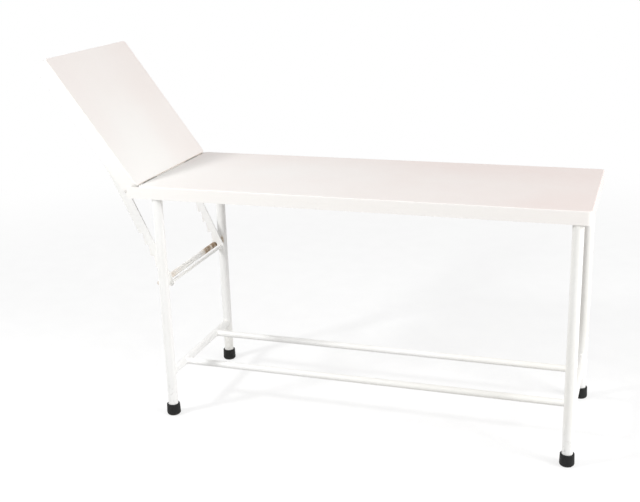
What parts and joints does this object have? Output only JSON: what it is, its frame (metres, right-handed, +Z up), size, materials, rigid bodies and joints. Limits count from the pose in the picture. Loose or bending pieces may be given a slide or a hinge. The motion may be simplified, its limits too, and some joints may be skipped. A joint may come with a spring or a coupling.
{
  "type": "examination table",
  "caption": "Sheet steel examination table on a tubular steel frame, its hinged back section propped by notched arms that hook over a crossbar.",
  "frame": {"origin": "on the floor, at the middle of the box around the table with its back section raised", "axes": "+Z is up, +X runs to the foot end, +Y to the rear long side, and the back section is at the -X end"},
  "size_m": [1.6694, 0.506, 1.1514],
  "materials": {
    "frame_paint": "white powder coat, semi-gloss",
    "tray_paint": "pinkish cream powder coat, satin",
    "shoe_rubber": "moulded black rubber, matt",
    "zinc_steel": "bright zinc plated steel"
  },
  "bodies": {
    "frame": {"head_front_leg": "frame_paint", "head_rear_leg": "frame_paint", "foot_front_leg": "frame_paint", "foot_rear_leg": "frame_paint", "head_end_rail": "frame_paint", "foot_end_rail": "frame_paint", "front_long_rail": "frame_paint", "rear_long_rail": "frame_paint", "ratchet_crossbar": "frame_paint", "front_seat_rail": "frame_paint", "rear_seat_rail": "frame_paint", "head_bearer": "frame_paint", "foot_bearer": "frame_paint", "seat_hinge_tube": "frame_paint", "seat_stiffeners": "frame_paint", "seat_tray": "tray_paint", "head_front_shoe": "shoe_rubber", "head_rear_shoe": "shoe_rubber", "foot_front_shoe": "shoe_rubber", "foot_rear_shoe": "shoe_rubber", "seat_hinge_leaves": "zinc_steel", "seat_hinge_rivets": "zinc_steel", "hinge_pins": "zinc_steel"},
    "backrest": {"back_front_tube": "frame_paint", "back_rear_tube": "frame_paint", "back_head_tube": "frame_paint", "back_hinge_tube": "frame_paint", "back_stiffeners": "frame_paint", "pivot_brackets": "frame_paint", "back_tray": "tray_paint", "back_hinge_leaves": "zinc_steel", "back_hinge_rivets": "zinc_steel", "pivot_studs": "zinc_steel", "pivot_bushes": "zinc_steel", "pivot_washers": "zinc_steel", "pivot_nuts": "zinc_steel"},
    "ratchet_arms": {"front_ratchet_arm": "frame_paint", "rear_ratchet_arm": "frame_paint", "tie_rod": "frame_paint"}
  },
  "joints": [
    {"name": "backrest_tilt", "type": "hinge", "parent": "frame", "child": "backrest", "pos_m": [-0.51931, 0, 0.764], "axis": [0, -1, 0], "range_deg": [0, 54]},
    {"name": "ratchet_arms_swing", "type": "hinge", "parent": "backrest", "child": "ratchet_arms", "pos_m": [-0.6964, 0, 0.95671], "axis": [0, -1, 0], "range_deg": [-8.2, 0]}
  ],
  "couplings": [
    {"joint": "ratchet_arms_swing", "follows": "backrest_tilt", "ratio": -0.15}
  ]
}
